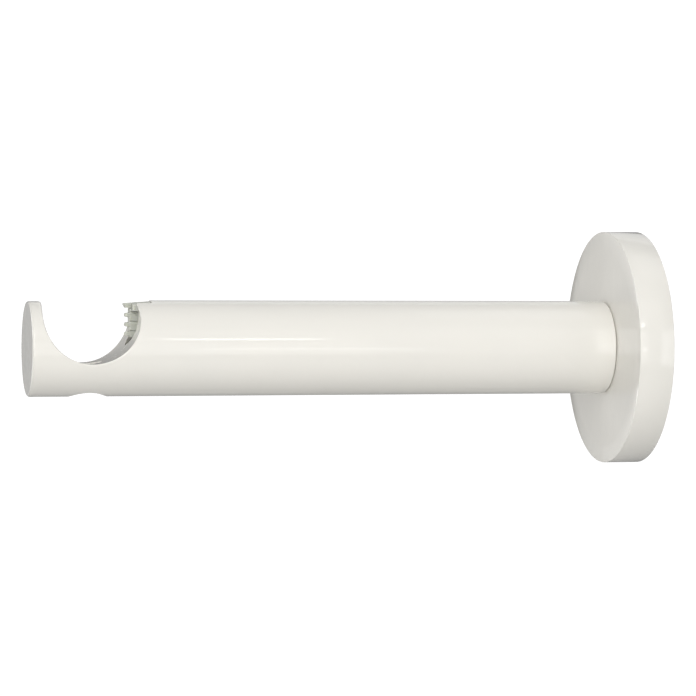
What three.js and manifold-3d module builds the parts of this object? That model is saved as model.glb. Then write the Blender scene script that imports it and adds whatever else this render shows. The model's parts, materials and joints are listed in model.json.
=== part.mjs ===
// Open wall bracket for a 20 mm curtain rod, on a round rosette.
//
// Millimetres. Origin: centre of the back face, on the wall. X runs along the curtain rod, Y points into the wall, so
// the arm reaches out along -Y, and Z is up. The arm, the rosette and the spigot are coaxial with Y.

import * as THREE from 'three';
import { mergeVertices } from 'three/addons/utils/BufferGeometryUtils.js';
import Module from 'manifold-3d';

// ---------------------------------------------------------------- driving dimensions

const PROJECTION = 120;          // wall to the rod's axis
const ROD_SEAT_Z = 7;            // height of the cradle's axis above the arm's axis
const SEAT_R = 10.1;             // cradle radius, for a rod of 20

const ARM_R = 10;
const ARM_BORE_R = 8.7;
const ARM_REAR = 7.6;            // distance of the tube's rear end from the wall
const ARM_FRONT = 131;           // distance of the tube's front end from the wall
const CAP_FRONT = 132.5;
const CAP_FILLET = 0.5;
const CORE_R = 8.6;              // pieces fixed inside the arm

const ROSETTE_R = 25;
const ROSETTE_T = 7.5;
const ROSETTE_SKIN = 1.5;
const ROSETTE_FILLET = 0.6;
const ROSETTE_HOLE_R = 5.4;

const PLATE_R = 22;
const PLATE_T = 3;
const BOSS_R = 8;
const BOSS_END = 5.6;
const FIX_Z = 15;                // wall screw holes above and below the axis
const FIX_R = 2.3;
const FIX_HEAD_R = 4.5;
const SLOT_HALF = 1.3;           // the lower hole is a slot, this far each side

const SPIGOT_R = 5;
const SPIGOT_END = 31;
const SPIGOT_BORE_R = 5.1;
const PLUG_END = 38;

const LOCK_Y = 20;               // lock screw, distance from the wall
const LOCK_R = 1.95;
const LOCK_HOLE_R = 2.05;

const BLOCK_REAR = 98;
const BLOCK_FRONT = 130.95;
const BUSH_R = 3.6;
const BUSH_BORE_R = 3.05;
const CLAMP_R = 2.95;
const PAD_R = 2.9;
const UNDER_HOLE_R = 3.85;
const UNDER_MOUTH_R = 4.05;

const POCKET_HALF = 3.9;         // U-shaped pocket in the cradle's rear wall
const POCKET_Z = 4.7;            // centre of its round bottom
const POCKET_REAR = 103.9;
const FIN_HALF = 1.4;            // the insert's ridge, with the lip and the ribs on its front edge
const INSERT_FACE = 111.3;       // the ridge's front edge between the ribs
const INSERT_REAR = 104.2;
const INSERT_FLOOR = 2.3;
const TAB_HALF = 3.05;
const TAB_END = 107.0;
const LIP_TOP = 9.45;
const TAB_R = 9.85;              // the tab's top is round, just inside the arm's surface
const UNDERCUT_HALF = 4.7;       // the pocket is wider behind a thin edge, and keeps the insert's flange in
const UNDERCUT_FOOT = 5.4;       // its round bottom, which stays empty under the insert
const UNDERCUT_R = SEAT_R + 0.6;
const FLANGE_HALF = 4.55;
const LUG_TOP = 9.78;            // the lug's top is flat
const RIB_TIP = 112.1;
const RIB_PITCH = 1.98;
const RIB_TOP_Z = 6.97;          // height of the uppermost rib's tip
const LIP_TIP = 112.4;

// ---------------------------------------------------------------- materials

const finish = (color, roughness, metalness) => new THREE.MeshStandardMaterial({ color, roughness, metalness });

const LACQUER = [0xf3f0e8, 0.22, 0.0];
const MOULDED = [0xeeebe3, 0.38, 0.0];
const SOFT = [0xdcdcd2, 0.62, 0.0];
const NATURAL = [0xe6e1d2, 0.55, 0.0];
const ZINC = [0xb4b8bc, 0.4, 1.0];
const STEEL = [0x9ea2a6, 0.32, 1.0];
const ALUMINIUM = [0xc6c8ca, 0.42, 1.0];
const BRASS = [0xc8a15a, 0.35, 1.0];

// ---------------------------------------------------------------- solids

const wasm = await Module();
wasm.setup();

function solid(geometry) {
  const g = geometry.clone();
  for (const name of Object.keys(g.attributes)) if (name !== 'position') g.deleteAttribute(name);
  const merged = mergeVertices(g, 1e-4);
  const p = merged.attributes.position.array;
  let tris = [];
  const idx = merged.index.array;
  let volume = 0;
  for (let i = 0; i < idx.length; i += 3) {
    const [a, b, c] = [idx[i], idx[i + 1], idx[i + 2]];
    if (a === b || b === c || a === c) continue;
    tris.push(a, b, c);
    const [ax, ay, az, bx, by, bz, cx, cy, cz] =
      [p[3 * a], p[3 * a + 1], p[3 * a + 2], p[3 * b], p[3 * b + 1], p[3 * b + 2], p[3 * c], p[3 * c + 1], p[3 * c + 2]];
    volume += ax * (by * cz - bz * cy) - ay * (bx * cz - bz * cx) + az * (bx * cy - by * cx);
  }
  if (volume < 0) for (let i = 0; i < tris.length; i += 3) [tris[i + 1], tris[i + 2]] = [tris[i + 2], tris[i + 1]];
  return new wasm.Manifold(new wasm.Mesh({
    numProp: 3, vertProperties: new Float32Array(p), triVerts: new Uint32Array(tris),
  }));
}

function geometryOf(manifold) {
  const m = manifold.getMesh();
  const g = new THREE.BufferGeometry();
  g.setAttribute('position', new THREE.BufferAttribute(new Float32Array(m.vertProperties), 3));
  g.setIndex(new THREE.BufferAttribute(new Uint32Array(m.triVerts), 1));
  const flat = g.toNonIndexed();
  flat.computeVertexNormals();
  return flat;
}

// A solid of revolution about Y from a closed [radius, y] outline.
function turned(outline, segments) {
  const points = outline.map(([r, y]) => new THREE.Vector2(r, y));
  points.push(points[0].clone());
  return solid(new THREE.LatheGeometry(points, segments));
}

// The same about Z, from a closed [radius, z] outline.
function turnedZ(outline, segments) {
  const points = outline.map(([r, z]) => new THREE.Vector2(r, z));
  points.push(points[0].clone());
  return solid(new THREE.LatheGeometry(points, segments).rotateX(Math.PI / 2));
}

const rodZ = (r, z0, z1, y, segments = 48, x = 0) =>
  solid(new THREE.CylinderGeometry(r, r, z1 - z0, segments).rotateX(Math.PI / 2).translate(x, y, (z0 + z1) / 2));

const rodX = (r, x0, x1, y, z, segments = 48) =>
  solid(new THREE.CylinderGeometry(r, r, x1 - x0, segments).rotateZ(Math.PI / 2).translate((x0 + x1) / 2, y, z));

const rodY = (r, y0, y1, x, z, segments = 48) =>
  solid(new THREE.CylinderGeometry(r, r, y1 - y0, segments).translate(x, (y0 + y1) / 2, z));

const block = (x0, x1, y0, y1, z0, z1) =>
  solid(new THREE.BoxGeometry(x1 - x0, y1 - y0, z1 - z0).translate((x0 + x1) / 2, (y0 + y1) / 2, (z0 + z1) / 2));

// A [y, z] outline extruded along X between -half and +half.
function extrudedX(outline, half) {
  const shape = new THREE.Shape(outline.map(([y, z]) => new THREE.Vector2(y, z)));
  const g = new THREE.ExtrudeGeometry(shape, { depth: 2 * half, bevelEnabled: false, steps: 1 });
  g.translate(0, 0, -half);
  g.applyMatrix4(new THREE.Matrix4().makeBasis(
    new THREE.Vector3(0, 1, 0), new THREE.Vector3(0, 0, 1), new THREE.Vector3(1, 0, 0)));
  return solid(g);
}

// Points of an arc, angles in degrees.
function arc(cx, cy, r, from, to, steps) {
  const out = [];
  for (let i = 0; i <= steps; i++) {
    const a = ((from + (to - from) * i / steps) * Math.PI) / 180;
    out.push([cx + r * Math.cos(a), cy + r * Math.sin(a)]);
  }
  return out;
}

const seatCutter = (r = SEAT_R) => rodX(r, -15, 15, -PROJECTION, ROD_SEAT_Z, 72);

// A U-shaped prism along Y: round bottom of radius `half` about POCKET_Z, open upwards.
function pocketPrism(half, y0, y1, top) {
  return rodY(half, y0, y1, 0, POCKET_Z, 40).add(block(-half, half, y0, y1, POCKET_Z, top));
}

const hexPocket = (acrossFlats, depth) =>
  solid(new THREE.CylinderGeometry(acrossFlats / Math.sqrt(3), acrossFlats / Math.sqrt(3), depth + 1, 6)
    .rotateX(Math.PI / 2).translate(0, 0, (depth - 1) / 2));

const bracket = new THREE.Group();
bracket.name = 'curtain_rod_bracket';
const wallSide = new THREE.Group();
const rosetteSide = new THREE.Group();
const armSide = new THREE.Group();
bracket.add(wallSide, rosetteSide, armSide);

// `sideways` turns a piece drawn along Z, with its lower end down, so that the end faces -X.
function place(group, name, manifold, material, y = 0, z = 0, sideways = false) {
  const geometry = geometryOf(manifold);
  if (sideways) geometry.translate(0, 0, z).rotateY(Math.PI / 2);
  const mesh = new THREE.Mesh(geometry, finish(...material));
  mesh.name = name;
  mesh.position.set(0, y, sideways ? 0 : z);
  group.add(mesh);
}

// ---------------------------------------------------------------- wall side

// Round plate with a boss that holds the spigot. The boss is bored from the front and closed behind.
{
  const c = 0.4;
  let plate = turned([
    [0, 0], [PLATE_R, 0], [PLATE_R, -PLATE_T + c], [PLATE_R - c, -PLATE_T], [BOSS_R + 0.5, -PLATE_T],
    [BOSS_R, -PLATE_T - 0.5], [BOSS_R, -BOSS_END + c], [BOSS_R - c, -BOSS_END],
    [SPIGOT_R + 0.05, -BOSS_END], [SPIGOT_R + 0.05, -1.2], [0, -1.2],
  ], 56);
  const cone = (x, z) => solid(new THREE.CylinderGeometry(FIX_R, FIX_HEAD_R + 0.5, FIX_HEAD_R + 0.5 - FIX_R, 28)
    .translate(x, -PLATE_T - 0.5 + (FIX_HEAD_R + 0.5 - FIX_R) / 2, z));
  plate = plate.subtract(rodY(FIX_R, -5, 1, 0, FIX_Z, 28)).subtract(cone(0, FIX_Z));
  const deep = FIX_HEAD_R + 0.5 - FIX_R;
  const slotV = extrudedX([
    [-PLATE_T - 0.5, -FIX_Z - FIX_HEAD_R - 0.5], [-PLATE_T - 0.5, -FIX_Z + FIX_HEAD_R + 0.5],
    [-PLATE_T - 0.5 + deep, -FIX_Z + FIX_R], [-PLATE_T - 0.5 + deep, -FIX_Z - FIX_R],
  ], SLOT_HALF);
  plate = plate
    .subtract(rodY(FIX_R, -5, 1, -SLOT_HALF, -FIX_Z, 28)).subtract(rodY(FIX_R, -5, 1, SLOT_HALF, -FIX_Z, 28))
    .subtract(block(-SLOT_HALF, SLOT_HALF, -5, 1, -FIX_Z - FIX_R, -FIX_Z + FIX_R))
    .subtract(cone(-SLOT_HALF, -FIX_Z)).subtract(cone(SLOT_HALF, -FIX_Z)).subtract(slotV);
  place(wallSide, 'wall_plate', plate, ZINC);
}

place(wallSide, 'wall_spigot', turned([
  [0, -1.25], [SPIGOT_R - 0.3, -1.25], [SPIGOT_R, -1.55], [SPIGOT_R, -SPIGOT_END + 0.8], [SPIGOT_R - 0.8, -SPIGOT_END],
  [0, -SPIGOT_END],
], 40), STEEL);

// ---------------------------------------------------------------- rosette

// Shallow round cup over the plate, open to the wall, with a hole for the spigot.
place(rosetteSide, 'rosette_cover', turned([
  [ROSETTE_R - ROSETTE_SKIN, 0], [ROSETTE_R, 0],
  ...arc(ROSETTE_R - ROSETTE_FILLET, -ROSETTE_T + ROSETTE_FILLET, ROSETTE_FILLET, 0, -90, 3),
  [ROSETTE_HOLE_R + 0.3, -ROSETTE_T], [ROSETTE_HOLE_R, -ROSETTE_T + 0.3],
  [ROSETTE_HOLE_R, -ROSETTE_T + ROSETTE_SKIN], [ROSETTE_R - ROSETTE_SKIN, -ROSETTE_T + ROSETTE_SKIN],
], 80), LACQUER);

// Plastic ring fixed in the cup. It slides on the plate's rim and centres the cup.
place(rosetteSide, 'rosette_ring', turned([
  [PLATE_R + 0.38, -0.5], [ROSETTE_R - ROSETTE_SKIN - 0.1, -0.5], [ROSETTE_R - ROSETTE_SKIN - 0.1, -5.7],
  [PLATE_R - 1.2, -5.7], [PLATE_R - 1.2, -4.7], [PLATE_R + 0.08, -4.2], [PLATE_R + 0.08, -0.8],
], 56), NATURAL);

// ---------------------------------------------------------------- arm

// Round tube with the cradle cut across its top, a notch behind the cradle, the clamp screw's hole under it and the
// lock screw's hole in its far side near the wall.
{
  const c = 0.25;
  const mouth = solid(new THREE.CylinderGeometry(UNDER_HOLE_R, UNDER_HOLE_R + 0.8, 0.8, 36)
    .rotateX(Math.PI / 2).translate(0, -PROJECTION, -ARM_R + 0.4 + (UNDER_MOUTH_R - UNDER_HOLE_R) + 0.15));
  const tube = turned([
    [ARM_BORE_R, -ARM_REAR], [ARM_R - c, -ARM_REAR], [ARM_R, -ARM_REAR - c], [ARM_R, -ARM_FRONT],
    [ARM_BORE_R, -ARM_FRONT],
  ], 72)
    .subtract(seatCutter())
    .subtract(rodZ(UNDER_HOLE_R, -12, -5, -PROJECTION, 36))
    .subtract(mouth)
    .subtract(block(-TAB_HALF - 0.1, TAB_HALF + 0.1, -112, -TAB_END + 0.1, 7, 12))
    .subtract(rodX(LOCK_HOLE_R + 0.25, -12, -6, -LOCK_Y, 0, 28))
    .subtract(block(-6, 6, -134, -125, LUG_TOP, 12));
  place(armSide, 'arm_tube', tube, LACQUER);
}

// Front disc with a locating peg in the block.
place(armSide, 'end_cap', turned([
  [0, -ARM_FRONT - 0.05], [ARM_R, -ARM_FRONT - 0.05],
  ...arc(ARM_R - CAP_FILLET, -CAP_FRONT + CAP_FILLET, CAP_FILLET, 0, -90, 3), [0, -CAP_FRONT],
], 72).add(rodY(2, -ARM_FRONT - 0.5, -126.2, 0, -5.5, 20))
  .subtract(block(-6, 6, -134, -125, LUG_TOP, 12)), LACQUER);

// Moulded block that fills the arm under and behind the cradle.
{
  let core = turned([
    [0, -BLOCK_REAR - 3.5], [5.5, -BLOCK_REAR - 3.5], [5.8, -BLOCK_REAR], [CORE_R - 0.4, -BLOCK_REAR],
    [CORE_R, -BLOCK_REAR - 0.8], [CORE_R, -BLOCK_FRONT], [0, -BLOCK_FRONT],
  ], 56)
    .subtract(seatCutter())
    .subtract(pocketPrism(POCKET_HALF, -114, -POCKET_REAR, 12))
    .subtract(pocketPrism(UNDERCUT_HALF, -114, -POCKET_REAR, 12)
      .add(rodY(UNDERCUT_FOOT, -114, -POCKET_REAR, 0, POCKET_Z, 48).subtract(block(-7, 7, -116, -100, 3.4, 12)))
      .subtract(seatCutter(UNDERCUT_R)))
    .subtract(rodY(POCKET_HALF, -105, -95, 0, POCKET_Z, 40).subtract(block(-5, 5, -106, -94, 2.4, 10)))
    .subtract(rodZ(BUSH_R + 0.1, -12, -4.3, -PROJECTION, 32))
    .subtract(rodZ(3.05, -6, 0, -PROJECTION, 32))
    .subtract(rodY(2.1, -133, -126, 0, -5.5, 20));
  place(armSide, 'saddle_block', core, MOULDED);
}

// Soft insert in the cradle's rear wall: a wide foot behind the pocket's edge, and a ridge with a lip and three ribs
// that grip the rod. A tab at the ridge's top fills the arm's notch.
{
  const f = -INSERT_FACE;
  const outline = [[-105.5, INSERT_FLOOR], [-105.5, 8.2], [-109, 8.2], [-109, LIP_TOP], [-LIP_TIP, LIP_TOP - 0.02],
    [-LIP_TIP - 0.02, 9.25], [-LIP_TIP + 0.35, 8.5], [f - 0.2, 8.42], [f, 8.2]];
  for (let i = 0; i < 3; i++) {
    const z = RIB_TOP_Z - i * RIB_PITCH;
    outline.push([f, z + 0.58], [f - 0.12, z + 0.44], ...arc(-RIB_TIP + 0.42, z, 0.42, 100, 260, 5),
      [f - 0.12, z - 0.44], [f, z - 0.58]);
  }
  outline.push([f, INSERT_FLOOR]);
  const foot = pocketPrism(FLANGE_HALF, -112, -INSERT_REAR, 9)
    .subtract(seatCutter(UNDERCUT_R + 0.15))
    .subtract(block(-6, 6, -114, -100, -2, INSERT_FLOOR + 0.2))
    .intersect(rodY(8.4, -111, -100, 0, 0, 56));
  const tab = block(-TAB_HALF, TAB_HALF, -110.9, -TAB_END, 7.4, 10).intersect(rodY(TAB_R, -112, -100, 0, 0, 72));
  place(armSide, 'grip_insert', extrudedX(outline, FIN_HALF).add(foot).add(tab), SOFT);
}

// Threaded bush in the block, from below.
place(armSide, 'clamp_bush', turnedZ([
  [BUSH_BORE_R, -2.05], [BUSH_BORE_R + 0.25, -2.05], [BUSH_R - 0.2, -2.05], [BUSH_R, -1.85], [BUSH_R, 2.05],
  [BUSH_BORE_R, 2.05],
], 32), BRASS, -PROJECTION, -6.45);

// Bearing plug in the arm's rear end. It slides and turns on the spigot.
place(armSide, 'rear_plug', turned([
  [SPIGOT_BORE_R + 0.5, -7.7], [CORE_R - 0.3, -7.7], [CORE_R, -8.0], [CORE_R, -PLUG_END + 0.5],
  [CORE_R - 0.5, -PLUG_END], [SPIGOT_BORE_R, -PLUG_END], [SPIGOT_BORE_R, -8.2],
], 48).subtract(rodX(LOCK_HOLE_R, -12, -4, -LOCK_Y, 0, 28)), ALUMINIUM);

// ---------------------------------------------------------------- screws

// Nylon pad on the clamp screw's tip, just below the cradle's floor.
place(armSide, 'clamp_pad', turnedZ([
  [0, 0], [PAD_R - 0.2, 0], [PAD_R, 0.2], [PAD_R, 1.2], [PAD_R - 0.3, 1.5], [0, 1.5],
], 28), NATURAL, -PROJECTION, -4.85);

// Hexagon-socket grub screws, drawn socket downwards.
function grubScrew(r, length, acrossFlats, socket) {
  const c = 0.3;
  return turnedZ([[0, 0], [r - c, 0], [r, c], [r, length - c], [r - c, length], [0, length]], 28)
    .subtract(hexPocket(acrossFlats, socket));
}
place(armSide, 'clamp_screw', grubScrew(CLAMP_R, 3.5, 3, 1.9), STEEL, -PROJECTION, -8.4);

place(armSide, 'lock_slug', turnedZ([
  [0, 0], [LOCK_R - 0.2, 0], [LOCK_R - 0.05, 0.15], [LOCK_R - 0.05, 0.65], [LOCK_R - 0.2, 0.8], [0, 0.8],
], 24), BRASS, -LOCK_Y, -5.95, true);
place(armSide, 'lock_screw', grubScrew(LOCK_R, 3.3, 2, 1.7), STEEL, -LOCK_Y, -9.3, true);

export default bracket;
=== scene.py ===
import itertools
import json
import math

import bpy
import numpy as np
from mathutils import Matrix, Vector


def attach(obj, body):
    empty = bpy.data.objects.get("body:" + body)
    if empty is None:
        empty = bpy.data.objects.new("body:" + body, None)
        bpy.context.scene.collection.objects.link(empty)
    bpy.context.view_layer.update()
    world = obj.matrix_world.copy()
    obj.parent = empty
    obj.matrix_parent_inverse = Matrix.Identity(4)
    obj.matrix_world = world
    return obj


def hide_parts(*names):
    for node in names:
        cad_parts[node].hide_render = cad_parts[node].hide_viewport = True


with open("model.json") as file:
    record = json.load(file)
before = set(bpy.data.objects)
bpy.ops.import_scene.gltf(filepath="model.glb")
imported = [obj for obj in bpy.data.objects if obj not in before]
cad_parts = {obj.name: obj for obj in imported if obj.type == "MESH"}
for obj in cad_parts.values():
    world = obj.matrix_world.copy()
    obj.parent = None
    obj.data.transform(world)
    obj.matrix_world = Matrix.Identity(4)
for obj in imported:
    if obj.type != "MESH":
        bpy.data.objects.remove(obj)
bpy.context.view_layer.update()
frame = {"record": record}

# --------------------------------------------------------------------------------------------------------------------
# Lengths in this file are millimetres in the row frame until to_object() writes them out in metres: origin on the wall
# at the arm's axis, X along the curtain rod, Y into the wall, Z up.
# --------------------------------------------------------------------------------------------------------------------

PROJECTION = 120.0
SEAT_Z = 7.0
SEAT_R = 10.1
ARM_R = 10.0
BORE_R = 8.7
ARM_REAR = -7.6
ARM_FRONT = -131.0
CAP_FRONT = -132.5
ROSETTE_R = 25.0
ROSETTE_T = 7.5
POCKET_HALF = 3.9
POCKET_Z = 4.7
POCKET_REAR = -103.9
FIN_HALF = 1.4
INSERT_FACE = -111.3
TAB_HALF = 3.05
TAB_END = -107.0
NOTCH_END = -106.9
LUG_TOP = 9.8
CLAMP_Y = -120.0
LOCK_Y = -20.0


# ---------------------------------------------------------------- meshes

def to_object(name, verts, faces, normals=None, smooth=True):
    """A mesh object in metres, from vertices in mm. normals, one per vertex, are kept as the mesh's own."""
    me = bpy.data.meshes.new(name)
    verts = np.asarray(verts, float) * 0.001
    if isinstance(faces, np.ndarray):
        n, k = faces.shape
        me.vertices.add(len(verts))
        me.vertices.foreach_set("co", verts.astype(np.float32).ravel())
        me.loops.add(n * k)
        me.loops.foreach_set("vertex_index", faces.astype(np.int32).ravel())
        me.polygons.add(n)
        me.polygons.foreach_set("loop_start", np.arange(0, n * k, k, dtype=np.int32))
        me.update(calc_edges=True)
    else:
        me.from_pydata([tuple(v) for v in verts], [], [tuple(f) for f in faces])
    me.validate(clean_customdata=False)
    me.polygons.foreach_set("use_smooth", np.full(len(me.polygons), smooth, dtype=bool))
    if normals is not None:
        me.normals_split_custom_set_from_vertices([tuple(v) for v in np.asarray(normals, float)])
    me.update()
    ob = bpy.data.objects.new(name, me)
    bpy.context.scene.collection.objects.link(ob)
    return ob


def turned(name, profile, segments=256, at=(0.0, 0.0), axis="Y", crease=25.0):
    """A closed solid of revolution. profile is a closed loop of (radius, height) points; sides that meet at more than
    crease degrees stay sharp. Points on the axis close the solid. axis is Y, Z or X; at is where the axis passes (x, z),
    (x, y) or (y, z)."""
    p = np.array(profile, float)
    if np.allclose(p[0], p[-1]):
        p = p[:-1]
    n = len(p)
    nxt = np.roll(p, -1, 0)
    area = 0.5 * np.sum(p[:, 0] * nxt[:, 1] - nxt[:, 0] * p[:, 1])
    if area < 0:
        p = p[::-1].copy()
        nxt = np.roll(p, -1, 0)
    d = nxt - p
    length = np.linalg.norm(d, axis=1)
    side_n = np.stack([d[:, 1], -d[:, 0]], 1) / length[:, None]
    ang = np.linspace(0, 2 * math.pi, segments, endpoint=False)
    ca, sa = np.cos(ang), np.sin(ang)
    verts, norms, faces = [], [], []

    def ring(pt, nn):
        start = len(verts)
        if pt[0] < 1e-9:
            verts.append((0.0, pt[1], 0.0))
            norms.append((0.0, math.copysign(1.0, nn[1]) if abs(nn[1]) > 1e-9 else 1.0, 0.0))
            return start, 1
        for c, s in zip(ca, sa):
            verts.append((pt[0] * c, pt[1], pt[0] * s))
            norms.append((nn[0] * c, nn[1], nn[0] * s))
        return start, segments

    # every profile point keeps one normal where it is smooth, and one for each side where it is sharp
    start_ring, end_ring = [None] * n, [None] * n
    for i in range(n):
        a, b = side_n[i - 1], side_n[i]
        cosang = float(np.clip(a @ b, -1, 1))
        on_axis = p[i, 0] < 1e-9
        if on_axis:
            if p[i - 1, 0] > 1e-9:
                end_ring[i] = ring(p[i], a)
            if nxt[i, 0] > 1e-9:
                start_ring[i] = ring(p[i], b)
        elif math.degrees(math.acos(cosang)) < crease:
            w = a * length[i] + b * length[i - 1]   # the shorter side turns the normal less
            w = w / np.linalg.norm(w)
            start_ring[i] = end_ring[i] = ring(p[i], w)
        else:
            end_ring[i] = ring(p[i], a)
            start_ring[i] = ring(p[i], b)
    for i in range(n):
        j = (i + 1) % n
        if p[i, 0] < 1e-9 and p[j, 0] < 1e-9:
            continue
        (s0, n0), (s1, n1) = start_ring[i], end_ring[j]
        for k in range(segments):
            m = (k + 1) % segments
            if n0 == 1:
                faces.append((s0, s1 + k, s1 + m))
            elif n1 == 1:
                faces.append((s0 + k, s1, s0 + m))
            else:
                faces.append((s0 + k, s1 + k, s1 + m, s0 + m))
    v = np.array(verts)
    nn = np.array(norms)
    if axis == "Z":
        v = np.stack([v[:, 0], -v[:, 2], v[:, 1]], 1)
        nn = np.stack([nn[:, 0], -nn[:, 2], nn[:, 1]], 1)
        v[:, 0] += at[0]
        v[:, 1] += at[1]
    elif axis == "X":
        v = np.stack([v[:, 1], v[:, 0], -v[:, 2]], 1)
        nn = np.stack([nn[:, 1], nn[:, 0], -nn[:, 2]], 1)
        v[:, 1] += at[0]
        v[:, 2] += at[1]
    else:
        v[:, 0] += at[0]
        v[:, 2] += at[1]
    # faces look outwards: compare one face with its normals
    f0 = faces[len(faces) // 2]
    fn = np.cross(v[f0[1]] - v[f0[0]], v[f0[2]] - v[f0[0]])
    if fn @ nn[list(f0)].sum(0) < 0:
        faces = [tuple(reversed(f)) for f in faces]
    return weld(name, v, faces, nn)


def weld(name, v, faces, nn):
    """Joins the doubled rings of a sharp edge into one vertex each, keeping a normal for every corner."""
    key = np.round(v, 6)
    _, first, inverse = np.unique(key, axis=0, return_index=True, return_inverse=True)
    inverse = inverse.ravel()
    me = bpy.data.meshes.new(name)
    new_faces, corner_normals = [], []
    for f in faces:
        g = [int(inverse[i]) for i in f]
        if len(set(g)) < len(g):
            continue
        new_faces.append(g)
        corner_normals.extend(tuple(nn[i]) for i in f)
    me.from_pydata([tuple(p * 0.001) for p in v[first]], [], new_faces)
    me.polygons.foreach_set("use_smooth", np.ones(len(me.polygons), dtype=bool))
    me.normals_split_custom_set(corner_normals)
    me.update()
    ob = bpy.data.objects.new(name, me)
    bpy.context.scene.collection.objects.link(ob)
    return ob


def arc(cx, cy, r, a0, a1, steps):
    return [(cx + r * math.cos(math.radians(a0 + (a1 - a0) * i / steps)),
             cy + r * math.sin(math.radians(a0 + (a1 - a0) * i / steps))) for i in range(steps + 1)]


# ---------------------------------------------------------------- solids given by a distance function

def both(a, b, r=0.0):
    """Inside both; where the two surfaces meet, the edge is rounded to radius r."""
    if r <= 0:
        return np.maximum(a, b)
    return np.minimum(-r, np.maximum(a, b)) + np.hypot(np.maximum(r + a, 0), np.maximum(r + b, 0))


def both_var(a, b, r):
    """both() with a radius that changes from place to place."""
    return np.minimum(-r, np.maximum(a, b)) + np.hypot(np.maximum(r + a, 0), np.maximum(r + b, 0))


def either(a, b, r=0.0):
    """Inside either; the inner corner between them is filled to radius r."""
    if r <= 0:
        return np.minimum(a, b)
    return np.maximum(r, np.minimum(a, b)) - np.hypot(np.maximum(r - a, 0), np.maximum(r - b, 0))


def polygon(pts, u, v):
    """Distance to a polygon in the plane, negative inside."""
    pts = np.array(pts, float)
    d = np.full(u.shape, 1e18)
    s = np.ones(u.shape)
    n = len(pts)
    for i in range(n):
        a, b = pts[i], pts[i - 1]
        eu, ev = b[0] - a[0], b[1] - a[1]
        wu, wv = u - a[0], v - a[1]
        t = np.clip((wu * eu + wv * ev) / (eu * eu + ev * ev), 0, 1)
        d = np.minimum(d, (wu - eu * t) ** 2 + (wv - ev * t) ** 2)
        c1, c2, c3 = v >= a[1], v < b[1], eu * wv > ev * wu
        flip = (c1 & c2 & c3) | (~c1 & ~c2 & ~c3)
        s = np.where(flip, -s, s)
    return s * np.sqrt(d)


def smoothstep(a, b, x):
    t = np.clip((x - a) / (b - a), 0, 1)
    return t * t * (3 - 2 * t)


def span(*stops):
    """Grid lines: span(start, (end, step), (end, step), ...)."""
    out = [stops[0]]
    for end, step in stops[1:]:
        n = max(1, int(math.ceil(abs(end - out[-1]) / step - 1e-9)))
        out += list(np.linspace(out[-1], end, n + 1)[1:])
    return np.array(out)


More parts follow.
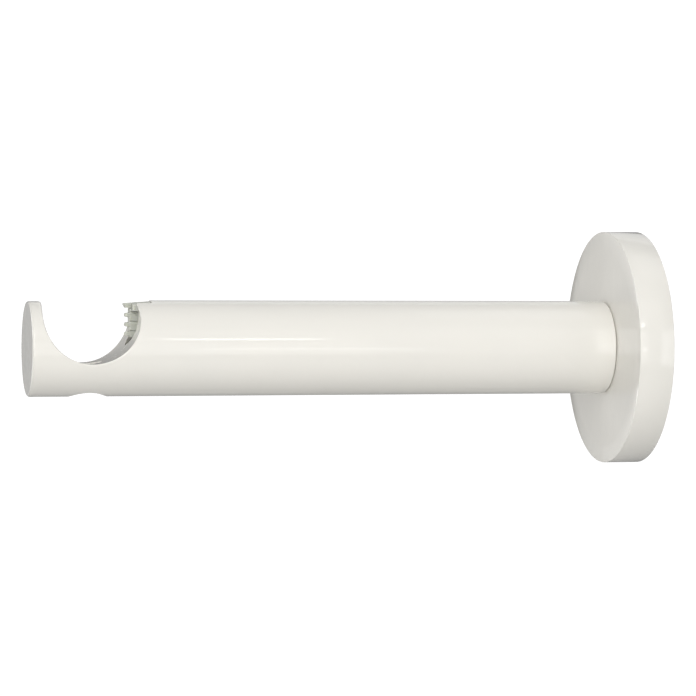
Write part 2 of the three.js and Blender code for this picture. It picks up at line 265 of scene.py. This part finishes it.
def shell(name, f, xs, ys, zs):
    """The surface f = 0 as quads, by surface nets on the grid lines xs, ys, zs; each vertex is then moved onto the
    surface, and its normal is the surface's own."""
    F = np.empty((len(xs), len(ys), len(zs)), np.float64)
    for i in range(0, len(xs), 16):
        X, Y, Z = np.meshgrid(xs[i:i + 16], ys, zs, indexing="ij")
        F[i:i + 16] = f(X, Y, Z)
    ins = F < 0
    nx, ny, nz = F.shape
    count = np.zeros((nx - 1, ny - 1, nz - 1), np.int8)
    for a, b, c in itertools.product((0, 1), repeat=3):
        count += ins[a:nx - 1 + a, b:ny - 1 + b, c:nz - 1 + c]
    mixed = (count > 0) & (count < 8)
    index = np.full(count.shape, -1, np.int64)
    index[mixed] = np.arange(mixed.sum())
    total = int(mixed.sum())
    acc = np.zeros((total, 3))
    cnt = np.zeros(total)
    lines = (xs, ys, zs)
    faces = []
    for ax in range(3):
        o1, o2 = [k for k in range(3) if k != ax]
        lo = [slice(None)] * 3
        hi = [slice(None)] * 3
        lo[ax], hi[ax] = slice(0, -1), slice(1, None)
        a, b = F[tuple(lo)], F[tuple(hi)]
        ia = ins[tuple(lo)]
        cross = np.argwhere(ia != ins[tuple(hi)])
        fa = a[tuple(cross.T)]
        fb = b[tuple(cross.T)]
        t = fa / (fa - fb)
        pts = np.empty((len(cross), 3))
        for k in range(3):
            if k == ax:
                pts[:, k] = lines[k][cross[:, k]] * (1 - t) + lines[k][cross[:, k] + 1] * t
            else:
                pts[:, k] = lines[k][cross[:, k]]
        around = []
        for d1, d2 in ((-1, -1), (0, -1), (0, 0), (-1, 0)):
            cell = cross.copy()
            cell[:, o1] += d1
            cell[:, o2] += d2
            ok = (cell[:, o1] >= 0) & (cell[:, o1] < index.shape[o1]) & (cell[:, o2] >= 0) & (cell[:, o2] < index.shape[o2])
            idx = np.full(len(cross), -1, np.int64)
            idx[ok] = index[tuple(cell[ok].T)]
            around.append(idx)
            good = idx >= 0
            for k in range(3):
                acc[:, k] += np.bincount(idx[good], weights=pts[good, k], minlength=total)
            cnt += np.bincount(idx[good], minlength=total)
        q = np.stack(around, 1)
        keep = (q >= 0).all(1)
        q = q[keep]
        outward = ia[tuple(cross.T)][keep]      # inside at the low end: the surface looks along +axis
        flip = outward if ax != 1 else ~outward
        q[~flip] = q[~flip][:, ::-1]
        faces.append(q)
    v = acc / cnt[:, None]
    cell = np.array([np.median(np.diff(l)) for l in lines]).min()
    h = 0.004

    def grad(p):
        g = np.empty_like(p)
        for k in range(3):
            e = np.zeros(3)
            e[k] = h
            a, b = p + e, p - e
            g[:, k] = (f(a[:, 0], a[:, 1], a[:, 2]) - f(b[:, 0], b[:, 1], b[:, 2])) / (2 * h)
        return g

    for _ in range(4):
        g = grad(v)
        val = f(v[:, 0], v[:, 1], v[:, 2])
        step = g * (val / np.maximum((g * g).sum(1), 0.05))[:, None]
        size = np.linalg.norm(step, axis=1)
        step *= np.minimum(1, 0.5 * cell / np.maximum(size, 1e-12))[:, None]
        v = v - step
    g = grad(v)
    nn = g / np.maximum(np.linalg.norm(g, axis=1), 1e-9)[:, None]
    v[:, 1] = np.minimum(v[:, 1], 0.0)      # nothing passes the wall
    return to_object(name, v, np.concatenate(faces), nn)


# ---------------------------------------------------------------- the arm

def seat(y, z, r=SEAT_R):
    """Positive inside the rod's cradle."""
    return r - np.hypot(y + PROJECTION, z - SEAT_Z)


def lug_top(y, z):
    """The lug in front of the cradle is flat on top."""
    return np.where(y < -125.0, z - LUG_TOP, z - 12.0)


def arm_f(x, y, z):
    rad = np.hypot(x, z)
    dip = 0.01 * smoothstep(-130.5, -130.9, y)
    f = both(rad - ARM_R + dip, y - ARM_REAR, 0.3)
    f = both(f, lug_top(y, z), 0.3)
    f = both_var(f, seat(y, z), 0.32 + 0.3 * smoothstep(7.6, 9.6, z) * (y < -PROJECTION))
    f = both(f, BORE_R - rad, 0.05)
    f = both(f, -131.3 - y)
    notch = both(both(np.abs(x) - TAB_HALF - 0.1, y - NOTCH_END), both(7.0 - z, -112.5 - y))
    f = both(f, -notch, 0.14)
    under = both(np.hypot(x, y - CLAMP_Y) - 3.85, z + 5.0)
    f = both(f, -under, 0.28)
    lock = both(np.hypot(z, y - LOCK_Y) - 2.3, x + 5.0)
    return both(f, -lock, 0.14)


def cap_f(x, y, z):
    f = both(both(np.hypot(x, z) - ARM_R, lug_top(y, z), 0.3), CAP_FRONT - y, 0.5)
    return both(f, y - ARM_FRONT - 0.02)


def block_f(x, y, z):
    rad = np.hypot(x, z)
    f = both(rad - (BORE_R + 0.2), seat(y, z, SEAT_R + 0.015))
    f = both(f, both(-131.25 - y, y + 98.0))
    # the pocket widens behind its mouth, most at its foot
    deep = np.clip(-seat(y, z), 0, 1.6)
    wide = POCKET_HALF + np.minimum(deep, 0.8 + 0.7 * smoothstep(3.8, 3.0, z))
    side = np.where(z > POCKET_Z, np.abs(x), np.hypot(x, z - POCKET_Z)) - wide
    f = both(f, -both(0.75 * side, both(y - POCKET_REAR, -114.0 - y)), 0.16)
    f = both(f, -both(np.hypot(x, z - POCKET_Z) - POCKET_HALF, both(z - 2.4, -106.0 - y)), 0.08)
    f = both(f, -both(np.hypot(x, y - CLAMP_Y) - 3.05, -4.6 - z), 0.18)
    return both(f, -both(np.hypot(x, y - CLAMP_Y) - 3.68, z + 4.3), 0.05)


def insert_f(x, y, z):
    side = np.abs(x) - FIN_HALF
    foot = np.where(z > POCKET_Z, np.abs(x), np.hypot(x, z - POCKET_Z)) - 4.55
    foot = both(both(foot, seat(y, z, SEAT_R + 0.75)), both(2.5 - z, y + 104.2))
    foot = both(foot, np.hypot(x, z) - 8.4, 0.1)
    ridge = both(both(INSERT_FACE - y, 2.3 - z, 0.3), both(z - 8.3, y + 105.5))
    f = either(both(ridge, side, 0.16), foot, 0.15)
    crown = np.clip(9.76 + 0.07 * (y + 107.7), 9.3, 9.86)
    tab = both(both(np.hypot(x, z) - crown, -110.9 - y, 0.1), both(7.6 - z, y - TAB_END))
    f = either(f, both(tab, np.abs(x) - TAB_HALF, 0.1), 0.06)
    lip = polygon([(-109.0, 9.5), (-110.3, 9.42), (-112.3, 9.28), (-111.95, 8.62), (-111.2, 8.6), (-109.0, 8.6)], y, z) - 0.15
    f = either(f, both(lip, side, 0.16), 0.12)
    for i in range(3):
        zt = 6.97 - 1.98 * i
        rib = polygon([(-110.6, zt + 0.1), (-111.74, zt + 0.06), (-111.74, zt - 0.06), (-110.6, zt - 0.1)], y, z) - 0.38
        f = either(f, both(rib, side, 0.2), 0.14)
        crease = both(both(np.abs(z - zt - 0.68) - 0.08, y + 109.6), 1.12 - np.abs(x))
        f = both(f, -crease, 0.05)
    return f


def thread(r, z, angle, major, pitch):
    """Distance to a right-handed screw thread along Z, near its flanks."""
    turn = np.mod(z / pitch - angle / (2 * math.pi), 1.0)
    depth = 0.56 * pitch
    flank = np.clip((np.abs(2 * turn - 1) - 0.14) / 0.72, 0, 1)
    return (r - (major - depth * flank)) * 0.72


def hexagon(x, y, across):
    d = np.abs(x)
    for a in (60, 120):
        d = np.maximum(d, np.abs(x * math.cos(math.radians(a)) + y * math.sin(math.radians(a))))
    return d - across / 2


def grub_f(cy, z0, length, major, pitch, across, depth):
    def f(x, y, z):
        v = y - cy
        r = np.hypot(x, v)
        s = thread(r, z - z0, np.arctan2(v, x), major, pitch)
        s = both(s, both(z0 - z, z - z0 - length))
        ends = np.maximum(z0 + 0.45 - z, z - (z0 + length - 0.45))
        s = both(s, (r - major + np.maximum(ends, -9)) * 0.7071, 0.02)
        socket = both(hexagon(x, v, across), z - z0 - depth - 0.35 * (across / 2 - r))
        lead = (r - across * 0.6 + (z - z0)) * 0.7071
        return both(s, -np.minimum(socket, lead), 0.03)
    return f


def plate_f(x, y, z):
    rad = np.hypot(x, z)
    f = both(both(rad - 22.0, y, 0.25), -3.0 - y, 0.4)
    boss = both(rad - 8.0, -5.6 - y, 0.4)
    f = either(f, both(boss, y), 0.6)
    f = both(f, -both(rad - 5.05, y + 1.2), 0.1)
    for cz, half in ((15.0, 0.0), (-15.0, 1.3)):
        d = np.hypot(np.maximum(np.abs(x) - half, 0), z - cz)
        f = both(f, 2.3 - d, 0.1)
        f = both(f, (4.5 - d - (y + 3.0)) * 0.7071, 0.06)
    return f


MADE = {}

# the coarse lines are only where the section does not change
head_y = span(-131.5, (-130.6, 0.12), (-128.6, 0.2), (-111.6, 0.21), (-106.2, 0.16), (-105.2, 0.3), (-102.0, 1.6),
              (-26.0, 4.0), (-23.2, 1.0), (-16.8, 0.2), (-14.0, 1.0), (-9.2, 2.4), (-8.4, 0.3), (-7.4, 0.09))
cross = span(-10.25, (-3.6, 0.2), (-2.7, 0.14), (2.7, 0.2), (3.6, 0.14), (10.25, 0.2))
upright = span(-10.25, (-8.2, 0.16), (6.5, 0.21), (10.25, 0.15))
MADE["arm_tube"] = shell("lacquered_arm", arm_f, cross, head_y, upright)

MADE["end_cap"] = shell("front_cap", cap_f, span(-10.25, (10.25, 0.16)), span(-132.6, (-131.8, 0.08), (-131.1, 0.14), (-130.85, 0.1)),
                        span(-10.25, (9.0, 0.16), (10.1, 0.1)))

MADE["saddle_block"] = shell(
    "cradle_block", block_f, span(-9.1, (-4.6, 0.22), (-3.2, 0.13), (3.2, 0.2), (4.6, 0.13), (9.1, 0.22)),
    span(-131.45, (-130.9, 0.14), (-128.0, 0.26), (-113.0, 0.22), (-109.4, 0.13), (-104.6, 0.4), (-103.4, 0.2),
         (-98.4, 1.2), (-97.7, 0.2)),
    span(-9.1, (-4.0, 0.3), (0.0, 0.18), (6.0, 0.16), (9.1, 0.2)))

MADE["grip_insert"] = shell("ribbed_grip", insert_f, span(-4.75, (-3.9, 0.12), (3.9, 0.085), (4.75, 0.12)),
                            span(-112.65, (-109.9, 0.06), (-106.7, 0.14), (-103.9, 0.14)), span(2.0, (10.05, 0.065)))

MADE["rosette_cover"] = turned("rosette", [
    (23.5, -0.12), (23.62, 0), (24.85, 0), *arc(24.85, -0.15, 0.15, 90, 0, 4),
    *arc(ROSETTE_R - 0.12, -ROSETTE_T + 0.12, 0.12, 0, -90, 6), (ROSETTE_R - 4, -ROSETTE_T), (12, -ROSETTE_T),
    (5.7, -ROSETTE_T), *arc(5.7, -ROSETTE_T + 0.3, 0.3, -90, -180, 5), (5.4, -6.0), (22.9, -6.0),
    *arc(22.9, -5.4, 0.6, -90, 0, 5)], 384)

MADE["rosette_ring"] = turned("snap_ring", [
    (22.38, -0.5), (23.3, -0.5), (23.4, -0.6), (23.4, -5.2), *arc(23.0, -5.3, 0.4, 0, -90, 4), (20.9, -5.7),
    (20.8, -5.6), (20.8, -4.8), (20.9, -4.7), (21.6, -4.5), (22.08, -4.2), (22.08, -0.8)], 256)

MADE["wall_plate"] = shell("wall_disc", plate_f, span(-22.3, (22.3, 0.28)),
                           span(-5.9, (-5.1, 0.12), (-3.4, 0.24), (-2.5, 0.12), (-0.5, 0.25), (0.25, 0.09)),
                           span(-22.3, (22.3, 0.28)))

MADE["wall_spigot"] = turned("spigot", [
    (0, -1.25), (4.7, -1.25), (5.0, -1.55), (5.0, -30.1), *arc(4.1, -30.1, 0.9, 0, -90, 8), (1.3, -31.0), (1.0, -30.9),
    (0, -30.3)], 192)

MADE["rear_plug"] = turned("bearing_plug", [
    (5.6, -7.7), (8.3, -7.7), (8.6, -8.0), (8.6, -37.5), (8.1, -38.0), (5.3, -38.0), (5.1, -37.8), (5.1, -8.2)], 192)

MADE["clamp_bush"] = turned("brass_bush", [
    (3.05, -8.3), (3.25, -8.5), (3.4, -8.5), (3.6, -8.3), (3.6, -7.6), (3.45, -7.45), (3.6, -7.3), (3.6, -4.4),
    (3.05, -4.4)], 160, at=(0, CLAMP_Y), axis="Z")

MADE["clamp_pad"] = turned("pressure_pad", [
    (0, -4.85), (2.7, -4.85), (2.9, -4.65), (2.9, -3.65), *arc(2.6, -3.65, 0.3, 0, 90, 6), (1.2, -3.35), (0, -3.35)],
    160, at=(0, CLAMP_Y), axis="Z")

MADE["clamp_screw"] = shell("clamp_grub", grub_f(CLAMP_Y, -8.4, 3.5, 2.95, 1.0, 3.0, 1.9),
                            span(-3.1, (3.1, 0.08)), span(-123.1, (-116.9, 0.08)), span(-8.55, (-4.75, 0.07)))

MADE["lock_slug"] = turned("brass_slug", [
    (0, -5.95), (1.7, -5.95), (1.85, -5.8), (1.85, -5.3), (1.7, -5.15), (0, -5.15)], 128, at=(LOCK_Y, 0), axis="X")

lock_upright = grub_f(LOCK_Y, -9.3, 3.3, 1.95, 0.7, 2.0, 1.7)
MADE["lock_screw"] = shell("lock_grub", lambda x, y, z: lock_upright(-z, y, x),
                           span(-9.4, (-5.9, 0.05)), span(-22.1, (-17.9, 0.055)), span(-2.1, (2.1, 0.055)))

SLOT = {s["node"]: s["material_slot"] for s in frame["record"]["subparts"]}
BODY = {n: b for b, ns in frame["record"]["behaviour"]["bodies"].items() for n in ns}
for node, ob in MADE.items():
    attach(ob, BODY[node])
    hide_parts(node)


# ---------------------------------------------------------------- materials

class Nodes:
    """A small helper that adds nodes to one material."""

    def __init__(self, name):
        self.mat = bpy.data.materials.new(name)
        self.mat.use_nodes = True
        self.tree = self.mat.node_tree
        self.bsdf = self.tree.nodes["Principled BSDF"]

    def add(self, kind, inputs=None, **props):
        n = self.tree.nodes.new(kind)
        for k, v in props.items():
            setattr(n, k, v)
        for k, v in (inputs or {}).items():
            if isinstance(v, bpy.types.NodeSocket):
                self.tree.links.new(v, n.inputs[k])
            else:
                n.inputs[k].default_value = v
        return n

    def link(self, a, b):
        self.tree.links.new(a, b)

    def position(self):
        return self.add("ShaderNodeTexCoord").outputs["Object"]

    def noise(self, scale, detail=3.0, rough=0.5, vector=None):
        n = self.add("ShaderNodeTexNoise", {"Scale": scale, "Detail": detail, "Roughness": rough,
                                            "Vector": vector or self.position()})
        return n.outputs[0]

    def ramp(self, value, lo, hi, out_lo, out_hi):
        n = self.add("ShaderNodeMapRange", {"Value": value, "From Min": lo, "From Max": hi, "To Min": out_lo,
                                            "To Max": out_hi})
        return n.outputs[0]

    def mix(self, factor, a, b):
        n = self.add("ShaderNodeMix", data_type="RGBA")
        n.inputs[6].default_value = (*a, 1)
        n.inputs[7].default_value = (*b, 1)
        if isinstance(factor, bpy.types.NodeSocket):
            self.link(factor, n.inputs[0])
        return n.outputs[2]

    def bump(self, height, strength, distance):
        n = self.add("ShaderNodeBump", {"Height": height, "Strength": strength, "Distance": distance})
        self.link(n.outputs[0], self.bsdf.inputs["Normal"])


def lacquer(name, base, low, rough=(0.12, 0.19), orange=0.00009):
    """Sprayed gloss lacquer: very slight colour drift, a soft orange peel, and fine unevenness in the gloss."""
    m = Nodes(name)
    drift = m.noise(38.0, 3.0, 0.55)
    m.link(m.mix(m.ramp(drift, 0.3, 0.7, 0, 1), base, low), m.bsdf.inputs["Base Color"])
    fine = m.noise(900.0, 2.0, 0.6)
    m.link(m.ramp(fine, 0.3, 0.7, *rough), m.bsdf.inputs["Roughness"])
    peel = m.noise(330.0, 2.0, 0.45)
    m.bump(peel, 0.35, orange)
    m.bsdf.inputs["IOR"].default_value = 1.5
    m.bsdf.inputs["Coat Weight"].default_value = 0.6
    m.bsdf.inputs["Coat Roughness"].default_value = 0.03
    m.bsdf.inputs["Coat IOR"].default_value = 1.5
    return m.mat


def turned_metal(name, base, dark, centre, axis, rough=(0.22, 0.42), lines=2600.0):
    """Lathe-turned metal: fine rings about the axis, slight tarnish."""
    m = Nodes(name)
    pos = m.add("ShaderNodeVectorMath", {0: m.position(), 1: centre}, operation="SUBTRACT").outputs[0]
    xyz = m.add("ShaderNodeSeparateXYZ", {0: pos})
    k = "XYZ".index(axis)
    a, b = [xyz.outputs[i] for i in range(3) if i != k]
    rr = m.add("ShaderNodeMath", {0: m.add("ShaderNodeMath", {0: a, 1: a}, operation="MULTIPLY").outputs[0],
                                  1: m.add("ShaderNodeMath", {0: b, 1: b}, operation="MULTIPLY").outputs[0]},
               operation="ADD").outputs[0]
    radius = m.add("ShaderNodeMath", {0: rr, 1: 0.5}, operation="POWER").outputs[0]
    ring = m.add("ShaderNodeCombineXYZ", {0: radius, 1: xyz.outputs[k]}).outputs[0]
    grooves = m.noise(lines, 3.0, 0.6, ring)
    stain = m.noise(160.0, 4.0, 0.6)
    m.link(m.mix(m.ramp(stain, 0.35, 0.75, 0, 1), base, dark), m.bsdf.inputs["Base Color"])
    m.link(m.ramp(grooves, 0.3, 0.7, *rough), m.bsdf.inputs["Roughness"])
    m.bump(grooves, 0.3, 0.00004)
    m.bsdf.inputs["Metallic"].default_value = 1.0
    return m.mat


def plastic(name, base, low, rough, grain=0.00003, scale=1500.0, spec=0.5):
    m = Nodes(name)
    drift = m.noise(120.0, 3.0, 0.5)
    m.link(m.mix(m.ramp(drift, 0.3, 0.7, 0, 1), base, low), m.bsdf.inputs["Base Color"])
    g = m.noise(scale, 2.0, 0.5)
    m.link(m.ramp(g, 0.3, 0.7, *rough), m.bsdf.inputs["Roughness"])
    m.bump(g, 0.4, grain)
    m.bsdf.inputs["Specular IOR Level"].default_value = spec
    return m.mat


def elastomer(name, base, low):
    """Matt soft elastomer, slightly translucent, with a faint mottle and a fine grain."""
    m = Nodes(name)
    m.link(m.mix(m.ramp(m.noise(420.0, 4.0, 0.6), 0.3, 0.7, 0, 1), base, low), m.bsdf.inputs["Base Color"])
    g = m.noise(1300.0, 2.0, 0.5)
    m.link(m.ramp(g, 0.3, 0.7, 0.5, 0.66), m.bsdf.inputs["Roughness"])
    m.bump(g, 0.4, 0.00003)
    m.bsdf.inputs["Specular IOR Level"].default_value = 0.3
    m.bsdf.inputs["Subsurface Weight"].default_value = 1.0
    m.bsdf.inputs["Subsurface Radius"].default_value = (1.0, 1.0, 0.9)
    m.bsdf.inputs["Subsurface Scale"].default_value = 0.0009
    return m.mat


WHITE = (0.855, 0.832, 0.772)
WHITE_LOW = (0.838, 0.818, 0.762)
LOOK = {
    "white_lacquer": lacquer("white_lacquer", WHITE, WHITE_LOW),
    "white_moulded": lacquer("white_lacquer_moulding", (0.83, 0.81, 0.755), (0.815, 0.798, 0.745), (0.22, 0.28), 0.00003),
    "soft_grip": elastomer("soft_grip", (0.54, 0.55, 0.495), (0.51, 0.52, 0.465)),
    "natural_nylon": plastic("natural_nylon", (0.74, 0.71, 0.61), (0.70, 0.67, 0.57), (0.4, 0.52)),
}
METALS = {
    "wall_plate": ("zinc_plate", (0.60, 0.62, 0.65), (0.50, 0.52, 0.56), (0, 0, 0), "Y", (0.3, 0.46), 900.0),
    "wall_spigot": ("spigot_steel", (0.56, 0.57, 0.58), (0.45, 0.46, 0.47), (0, 0, 0), "Y", (0.18, 0.34), 3000.0),
    "rear_plug": ("plug_aluminium", (0.78, 0.78, 0.79), (0.68, 0.69, 0.70), (0, 0, 0), "Y", (0.25, 0.42), 2400.0),
    "clamp_bush": ("bush_brass", (0.80, 0.60, 0.28), (0.62, 0.45, 0.20), (0, -0.12, 0), "Z", (0.22, 0.36), 2600.0),
    "lock_slug": ("slug_brass", (0.80, 0.60, 0.28), (0.62, 0.45, 0.20), (0, -0.02, 0), "X", (0.22, 0.36), 2600.0),
    "clamp_screw": ("clamp_steel", (0.42, 0.43, 0.45), (0.30, 0.31, 0.33), (0, -0.12, 0), "Z", (0.25, 0.4), 2600.0),
    "lock_screw": ("lock_steel", (0.42, 0.43, 0.45), (0.30, 0.31, 0.33), (0, -0.02, 0), "X", (0.25, 0.4), 2600.0),
}
for node, ob in MADE.items():
    if node in METALS:
        mat = turned_metal(*METALS[node])
    else:
        mat = LOOK[SLOT[node]]
    ob.data.materials.clear()
    ob.data.materials.append(mat)


# ---------------------------------------------------------------- camera

def look(location, yaw, pitch, roll):
    fw = Vector((-math.cos(yaw) * math.cos(pitch), math.sin(yaw) * math.cos(pitch), -math.sin(pitch)))
    rt = fw.cross(Vector((0, 0, 1))).normalized()
    up = rt.cross(fw)
    c, s = math.cos(roll), math.sin(roll)
    right = c * rt + s * up
    top = -s * rt + c * up
    m = Matrix.Identity(4)
    for i in range(3):
        m[i][0], m[i][1], m[i][2], m[i][3] = right[i], top[i], -fw[i], location[i]
    return m


cam_data = bpy.data.cameras.new("camera")
cam = bpy.data.objects.new("camera", cam_data)
bpy.context.scene.collection.objects.link(cam)
cam_data.sensor_width = 36.0
cam_data.lens = 2803.77 / 696 * 36.0
cam_data.clip_start, cam_data.clip_end = 0.01, 100.0
cam.matrix_world = look((0.5789688, -0.2029271, 0.012), math.radians(13.4698), math.radians(1.1596), math.radians(0.1376))
bpy.context.scene.camera = cam


# ---------------------------------------------------------------- light, floor

CENTRE = Vector((0.0, -0.066, 0.0))


def softbox(name, place, size, watts, colour=(1.0, 1.0, 1.0), target=CENTRE):
    data = bpy.data.lights.new(name, "AREA")
    data.shape = "RECTANGLE"
    data.size, data.size_y = size
    data.energy = watts
    data.color = colour
    ob = bpy.data.objects.new(name, data)
    bpy.context.scene.collection.objects.link(ob)
    ob.location = Vector(place)
    ob.rotation_mode = "QUATERNION"
    ob.rotation_quaternion = (Vector(target) - Vector(place)).to_track_quat("-Z", "Y")
    return ob


def around(azimuth, elevation, distance=1.25):
    a, e = math.radians(azimuth), math.radians(elevation)
    return CENTRE + distance * Vector((math.cos(e) * math.cos(a), math.cos(e) * math.sin(a), math.sin(e)))


PANEL = (0.65, 0.65)
softbox("key", around(337.5, 30), PANEL, 4.40)
softbox("key_low", around(337.5, 0), PANEL, 6.05)
softbox("front_fill", around(0, 0), PANEL, 0.91)
softbox("front_side_fill", around(22.5, 0), PANEL, 0.40)
softbox("front_high_fill", around(22.5, 30), PANEL, 0.32)
softbox("wall_side_fill", around(45, 0), PANEL, 1.58)
softbox("high_fill", around(90, 60), PANEL, 0.54)
softbox("far_high_fill", around(157.5, 30), PANEL, 0.47)
softbox("far_fill", around(202.5, 0), PANEL, 0.36)
softbox("far_strip", around(203, 0), (0.3, 0.6), 0.12, target=CENTRE)
softbox("end_fill", around(225, 0), PANEL, 4.18)
softbox("pane_high", (0.935, 0.111, 0.378), (0.09, 0.07), 0.100, target=(0, -0.09, 0))
softbox("pane_low", (1.0, 0.148, -0.022), (0.126, 0.035), 0.045, target=(0, -0.075, 0))

world = bpy.data.worlds.new("studio")
bpy.context.scene.world = world
world.use_nodes = True
wt = world.node_tree
wt.nodes.clear()
w_out = wt.nodes.new("ShaderNodeOutputWorld")
w_mix = wt.nodes.new("ShaderNodeMixShader")
w_path = wt.nodes.new("ShaderNodeLightPath")
w_room = wt.nodes.new("ShaderNodeBackground")
w_back = wt.nodes.new("ShaderNodeBackground")
w_room.inputs[0].default_value = (1.0, 1.0, 1.0, 1)
# the room's own soft light is stronger from some sides than from others
ROOM = {"+Z": 0.644, "-X": 0.15}
w_dir = wt.nodes.new("ShaderNodeSeparateXYZ")
wt.links.new(wt.nodes.new("ShaderNodeTexCoord").outputs["Generated"], w_dir.inputs[0])
total = None
for side, strength in ROOM.items():
    w_turn = wt.nodes.new("ShaderNodeMath")
    w_turn.operation = "MULTIPLY"
    w_turn.inputs[1].default_value = 1.0 if side[0] == "+" else -1.0
    wt.links.new(w_dir.outputs["XYZ".index(side[1])], w_turn.inputs[0])
    w_lobe = wt.nodes.new("ShaderNodeMath")
    w_lobe.operation = "MAXIMUM"
    w_lobe.inputs[1].default_value = 0.0
    wt.links.new(w_turn.outputs[0], w_lobe.inputs[0])
    w_part = wt.nodes.new("ShaderNodeMath")
    w_part.operation = "MULTIPLY_ADD"
    w_part.name = "room" + side
    w_part.inputs[1].default_value = strength
    w_part.inputs[2].default_value = 0.0
    wt.links.new(w_lobe.outputs[0], w_part.inputs[0])
    if total is not None:
        wt.links.new(total, w_part.inputs[2])
    total = w_part.outputs[0]
wt.links.new(total, w_room.inputs[1])
w_back.inputs[0].default_value = (1.0, 1.0, 1.0, 1)
w_back.inputs[1].default_value = 1.1
wt.links.new(w_path.outputs["Is Camera Ray"], w_mix.inputs[0])
wt.links.new(w_room.outputs[0], w_mix.inputs[1])
wt.links.new(w_back.outputs[0], w_mix.inputs[2])
wt.links.new(w_mix.outputs[0], w_out.inputs[0])

floor_mesh = bpy.data.meshes.new("floor")
floor_mesh.from_pydata([(-8, -8, -0.62), (8, -8, -0.62), (8, 8, -0.62), (-8, 8, -0.62)], [], [(0, 1, 2, 3)])
floor = bpy.data.objects.new("floor", floor_mesh)
bpy.context.scene.collection.objects.link(floor)
fm = Nodes("floor_paper")
fm.tree.nodes.remove(fm.bsdf)
f_out = fm.tree.nodes["Material Output"]
paper = fm.add("ShaderNodeBsdfDiffuse")
fm.link(fm.mix(fm.noise(3.0, 4.0), (0.58, 0.58, 0.575), (0.56, 0.56, 0.555)), paper.inputs[0])
glow = fm.add("ShaderNodeEmission", {"Color": (1, 1, 1, 1), "Strength": 1.25})
fmix = fm.add("ShaderNodeMixShader")
gate = fm.add("ShaderNodeMath", {0: fm.add("ShaderNodeLightPath").outputs["Is Camera Ray"], 1: 0.8}, operation="MULTIPLY")
fm.link(gate.outputs[0], fmix.inputs[0])
fm.link(paper.outputs[0], fmix.inputs[1])
fm.link(glow.outputs[0], fmix.inputs[2])
fm.link(fmix.outputs[0], f_out.inputs[0])
floor_mesh.materials.append(fm.mat)

scene = bpy.context.scene
scene.view_settings.view_transform = "Standard"
scene.view_settings.look = "None"

bpy.context.view_layer.update()
